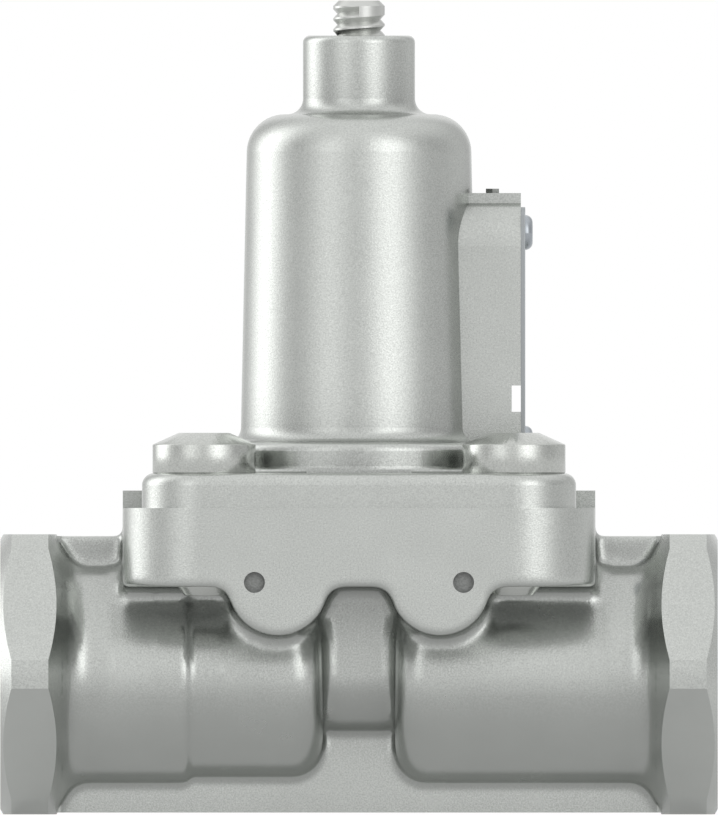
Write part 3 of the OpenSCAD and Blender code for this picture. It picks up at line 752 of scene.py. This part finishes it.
class VALVE_OT_body_casting(Operator):
    """Models the die-cast body with its soft cast fillets and crisp cut faces and threads"""

    bl_idname = "valve.body_casting"
    bl_label = "Body casting"

    def execute(self, context):
        finish = context.scene.valve_finish
        crisp = copy_of_node("valve_body", "crisp_body")
        filling = body_filling()
        hollow = copy_of(filling, "hollow")
        combine(hollow, crisp, "DIFFERENCE", keep=True)
        body = copy_of(crisp, "body_casting")
        combine(body, filling, "UNION")
        # The flange and the web run on for now, so that their edges stay crisp where they are cut off
        raise_flange(body)
        combine(body, block("deeper_web", (-35.4, -2.5, -3), (35.4, 2.5, 0.6)), "UNION")
        soften(body, finish.fillet_voxel, finish.hollow_radius, finish.edge_passes)
        apply(body, "DECIMATE", ratio=0.4)
        join_crisp_ends(body, crisp)
        combine(body, hollow, "DIFFERENCE")
        cut_openings(body)
        bpy.data.objects.remove(crisp)
        threads = port_threads() + mount_threads()
        choose(body)
        for thread in threads:
            thread.select_set(True)
        bpy.ops.object.join()

        smooth(body, 36)
        mark_end_edges(body, 14)
        dress(body, casting_material())
        finish_faces(body, bore_material(), is_cut_face)
        # The round marks' shallow holes get a darker cast skin: painted shade
        mark_painted_shade = cast_aluminium("Painted shade in marks", (0.34, 0.35, 0.34), 0.5, finish.grain_size, 0.5)
        finish_faces(body, mark_painted_shade, is_mark_face)
        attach(body, "housing")
        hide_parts("valve_body")
        return {"FINISHED"}


class VALVE_OT_bonnet_casting(Operator):
    """Gives the bonnet its cast skin"""

    bl_idname = "valve.bonnet_casting"
    bl_label = "Bonnet casting"

    def execute(self, context):
        dress(frame["nodes"]["bonnet"], casting_material())
        return {"FINISHED"}


class VALVE_OT_adjusting_screw(Operator):
    """Models the adjusting screw with its thread and hexagon socket"""

    bl_idname = "valve.adjusting_screw"
    bl_label = "Adjusting screw"

    def execute(self, context):
        pitch, turns = 1.25, 12.5
        screw = rod("adjusting_screw_threaded", SCREW_R, SCREW_FOOT_Z, SCREW_TOP_Z, (0, 0))
        select_faces(screw, lambda face: abs(face.normal.z) > 0.9)
        bpy.ops.mesh.bevel(offset=0.62 * MM, segments=1, affect="EDGES")
        bpy.ops.object.mode_set(mode="OBJECT")
        groove = helix_ridge("groove", [(2.46, 0), (3.03, 0.61), (3.03, -0.61)], pitch, turns, steps=60)
        groove.rotation_euler = (0, 0, math.radians(-90) - 2 * math.pi * turns)
        groove.location = (0, 0, (GROOVE_TOP_Z - pitch * turns) * MM)
        settle(groove)
        combine(screw, groove, "DIFFERENCE")
        # A hexagon socket, 3 mm over flats and deep, and a dimple for the ball
        socket_flats, socket_depth = 3.0, 3
        corner = socket_flats / 2 / math.cos(math.pi / 6)
        low, high = SCREW_TOP_Z - socket_depth, SCREW_TOP_Z + socket_depth
        combine(screw, rod("socket_tool", corner, low, high, (0, 0), sides=6), "DIFFERENCE")
        deselect_all()
        bpy.ops.mesh.primitive_cone_add(
            vertices=48, radius1=2.5 * MM, radius2=0, depth=2.5 * MM, location=(0, 0, 76.3 * MM)
        )
        dimple = context.object
        settle(dimple)
        combine(screw, dimple, "DIFFERENCE")
        smooth(screw, 28)
        dress(screw, screw_steel())
        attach(screw, "screw")
        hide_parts("adjusting_screw")
        return {"FINISHED"}


class VALVE_OT_cover_screws(Operator):
    """Models the four cover screws with softened edges"""

    bl_idname = "valve.cover_screws"
    bl_label = "Cover screws"

    def execute(self, context):
        finish = cast_aluminium("Cover screw finish", (0.56, 0.575, 0.55), 0.22, 0.0002, 0.12, 0.02)
        for corner in ("front_left", "front_right", "rear_left", "rear_right"):
            node = "cover_screw_" + corner
            screw = copy_of_node(node, node + "_finished")
            edit_all(screw, (bpy.ops.mesh.dissolve_limited, {"angle_limit": 0.01}))
            bevel_edges(screw, 0.12, 20)
            smooth(screw, 30)
            dress(screw, finish)
            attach(screw, "housing")
            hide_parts(node)
        return {"FINISHED"}


class VALVE_OT_vent_cover(Operator):
    """Models the vent cover plate and finishes its rivets"""

    bl_idname = "valve.vent_cover"
    bl_label = "Vent cover"

    def execute(self, context):
        plate = copy_of_node("vent_cover_plate", "vent_plate_sheet")
        edit_all(plate, (bpy.ops.mesh.dissolve_limited, {"angle_limit": 0.01}))
        bevel_edges(plate, 0.08, 40)
        smooth(plate, 20)
        dress(plate, turned_metal("Rolled sheet", (0.38, 0.40, 0.41), 0.32, 0.0001, 0.12, axis="Y"))
        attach(plate, "housing")
        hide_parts("vent_cover_plate")
        steel = turned_metal("Rivet steel", (0.42, 0.45, 0.48), 0.20, 0.0001, 0.05, axis="Z")
        for node in ("plate_rivet_upper", "plate_rivet_lower"):
            dress(frame["nodes"][node], steel)
        return {"FINISHED"}


def half_spring(node, name, low, high, material):
    """One half of a coil spring, cut between two heights or places."""
    coil = copy_of_node(node, name)
    combine(coil, block("half", low, high), "INTERSECT")
    smooth(coil, 50)
    dress(coil, material)
    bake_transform(coil)
    return coil


class VALVE_OT_diaphragm_train(Operator):
    """Finishes the diaphragm, the piston and the spring, seat and ball above them"""

    bl_idname = "valve.diaphragm_train"
    bl_label = "Diaphragm and spring"

    def execute(self, context):
        nodes = frame["nodes"]
        dress(nodes["diaphragm"], moulded_rubber("Moulded rubber", (0.018, 0.018, 0.019)))
        dress(nodes["thrust_piston"], turned_metal("Turned aluminium", (0.62, 0.63, 0.64), 0.30, axis="Z"))
        dress(nodes["upper_spring_seat"], screw_steel())
        dress(nodes["thrust_ball"], turned_metal("Polished steel", (0.72, 0.73, 0.74), 0.12, bump=0.02))
        wire = turned_metal("Spring steel", (0.40, 0.41, 0.42), 0.34, 0.0002, 0.12, axis="Z")
        lower = half_spring(
            "adjusting_spring", "adjusting_spring_lower", (-12, -12, 36), (12, 12, SPRING_MIDDLE_Z),
            wire,
        )
        half_spring(
            "adjusting_spring", "adjusting_spring_upper", (-12, -12, SPRING_MIDDLE_Z), (12, 12, 73),
            wire,
        )
        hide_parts("adjusting_spring")
        return {"FINISHED"}


class VALVE_OT_check_valve(Operator):
    """Finishes the check valve in the left port"""

    bl_idname = "valve.check_valve"
    bl_label = "Check valve"

    def execute(self, context):
        nodes = frame["nodes"]
        dress(nodes["check_valve_disc"], turned_metal("Turned brass", (0.70, 0.52, 0.22), 0.28, axis="X"))
        dress(nodes["check_valve_facing"], bpy.data.materials["Moulded rubber"])
        dress(nodes["check_valve_guide"], screw_steel())
        dress(nodes["check_valve_circlip"], bpy.data.materials["Spring steel"])
        coil = copy_of_node("check_valve_spring", "check_valve_coil")
        smooth(coil, 50)
        dress(coil, bpy.data.materials["Spring steel"])
        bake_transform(coil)
        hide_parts("check_valve_spring")
        return {"FINISHED"}


def horizon_light(direction):
    """Brightness that comes from a direction round the horizon, in degrees."""
    level = ROOM + WALL * math.exp(-(((180 - abs(direction)) / WALL_SPREAD) ** 4))
    for middle, brightness in SOFT_LIGHTS.values():
        away = abs(direction - middle)
        level += brightness * math.exp(-((min(away, 360 - away) / LIGHT_SPREAD) ** 2))
    return level


def light_ramp(nodes, stops):
    """A smooth ramp through the given places and brightnesses."""
    ramp = nodes.new("ShaderNodeValToRGB")
    ramp.color_ramp.interpolation = "CARDINAL"
    elements = ramp.color_ramp.elements
    while len(elements) < len(stops):
        elements.new(0.5)
    for element, (place, level) in zip(elements, stops):
        element.position = place
        element.color = (level, level, level, 1)
    return ramp


def floor_material(stage):
    """Plain floor with a painted glow, which is dimmer in an oval round the valve as a painted shadow."""
    material, shader = new_material("Plain floor")
    shader.inputs["Base Color"].default_value = (*stage.floor_colour, 1)
    shader.inputs["Roughness"].default_value = 0.9
    shader.inputs["Specular IOR Level"].default_value = 0.1
    shader.inputs["Emission Color"].default_value = (1, 1, 1, 1)
    tree = material.node_tree
    nodes, links = tree.nodes, tree.links
    spot = nodes.new("ShaderNodeTexCoord")
    oval = nodes.new("ShaderNodeMapping")
    oval.inputs["Scale"].default_value = (GLOW_LENGTHWISE, 1, 1)
    far = nodes.new("ShaderNodeVectorMath")
    far.operation = "LENGTH"
    links.new(spot.outputs["Object"], oval.inputs["Vector"])
    links.new(oval.outputs["Vector"], far.inputs[0])
    distance, light = far.outputs["Value"], (stage.floor_glow, stage.glow_beyond_painted_shadow)
    # Painted shadow: the glow is dimmer in an oval round the valve
    glow = ranged(tree, distance, GLOW_FROM, GLOW_TO, *light, soft=True)
    links.new(glow, shader.inputs["Emission Strength"])
    return material


def studio_light():
    """World light: one brightness all round the horizon's directions, another from above."""
    world = bpy.data.worlds.new("Studio light")
    world.use_nodes = True
    tree = world.node_tree
    nodes, links = tree.nodes, tree.links
    nodes.clear()
    way = nodes.new("ShaderNodeTexCoord")
    parts = nodes.new("ShaderNodeSeparateXYZ")
    links.new(way.outputs["Generated"], parts.inputs[0])
    ahead = calc(tree, "MULTIPLY", parts.outputs["Y"], -1.0)
    turn = calc(tree, "ARCTAN2", parts.outputs["X"], ahead)
    along = ranged(tree, turn, -math.pi, math.pi)
    directions = range(-180, 181, 12)
    brightest = max(map(horizon_light, directions))
    stops = [((a + 180) / 360, horizon_light(a) / brightest) for a in directions]
    round_ramp = light_ramp(nodes, stops)
    links.new(along, round_ramp.inputs["Fac"])
    rise = ranged(tree, parts.outputs["Z"], OVERHEAD_FROM, OVERHEAD_TO, soft=True)
    mix = nodes.new("ShaderNodeMix")
    mix.data_type = "RGBA"
    links.new(rise, mix.inputs["Factor"])
    links.new(round_ramp.outputs["Color"], mix.inputs["A"])
    mix.inputs["B"].default_value = (*[OVERHEAD / brightest] * 3, 1)
    background = nodes.new("ShaderNodeBackground")
    background.inputs["Strength"].default_value = brightest
    links.new(mix.outputs["Result"], background.inputs["Color"])
    put = nodes.new("ShaderNodeOutputWorld")
    links.new(background.outputs[0], put.inputs["Surface"])
    return world


def photo_camera(stage):
    """A camera without perspective, looking at the valve's front."""
    data = bpy.data.cameras.new("Photo view")
    data.type = "ORTHO"
    data.ortho_scale = stage.view_height
    data.clip_start = 0.01
    data.clip_end = 10.0
    camera = bpy.data.objects.new("Photo view", data)
    camera.location = (0, -0.5, stage.view_centre)
    camera.rotation_euler = (math.radians(90), 0, 0)
    return camera


class VALVE_OT_stage(Operator):
    """Sets the floor, the studio light and the camera"""

    bl_idname = "valve.stage"
    bl_label = "Stage"

    def execute(self, context):
        stage = context.scene.valve_stage
        deselect_all()
        bpy.ops.mesh.primitive_plane_add(size=4.0, location=(0, 0, 0))
        floor = context.object
        floor.name = "floor"
        dress(floor, floor_material(stage))
        context.scene.world = studio_light()
        camera = photo_camera(stage)
        context.scene.collection.objects.link(camera)
        context.scene.camera = camera
        context.scene.view_settings.view_transform = "Standard"
        return {"FINISHED"}


class VALVE_PT_panel(Panel):
    """Lists the valve's pieces and sizes"""

    bl_idname = "VALVE_PT_panel"
    bl_label = "Overflow valve"
    bl_space_type = "VIEW_3D"
    bl_region_type = "UI"
    bl_category = "Overflow valve"

    def draw(self, context):
        for settings in (context.scene.valve_finish, context.scene.valve_stage):
            box = self.layout.box()
            for name in settings.__annotations__:
                box.prop(settings, name)
        for step in STEPS:
            self.layout.operator(step.bl_idname)


STEPS = (
    VALVE_OT_body_casting,
    VALVE_OT_bonnet_casting,
    VALVE_OT_adjusting_screw,
    VALVE_OT_cover_screws,
    VALVE_OT_vent_cover,
    VALVE_OT_diaphragm_train,
    VALVE_OT_check_valve,
    VALVE_OT_stage,
)
CLASSES = (FinishSettings, StageSettings, *STEPS, VALVE_PT_panel)


def register():
    """Adds the classes and their settings to Blender."""
    for cls in CLASSES:
        bpy.utils.register_class(cls)
    bpy.types.Scene.valve_finish = PointerProperty(type=FinishSettings)
    bpy.types.Scene.valve_stage = PointerProperty(type=StageSettings)


def unregister():
    """Takes the classes and their settings out again."""
    del bpy.types.Scene.valve_stage
    del bpy.types.Scene.valve_finish
    for cls in reversed(CLASSES):
        bpy.utils.unregister_class(cls)


def main():
    """Makes every piece in turn."""
    register()
    for step in STEPS:
        group, name = step.bl_idname.split(".")
        getattr(getattr(bpy.ops, group), name)()


if __name__ == "__main__":
    main()
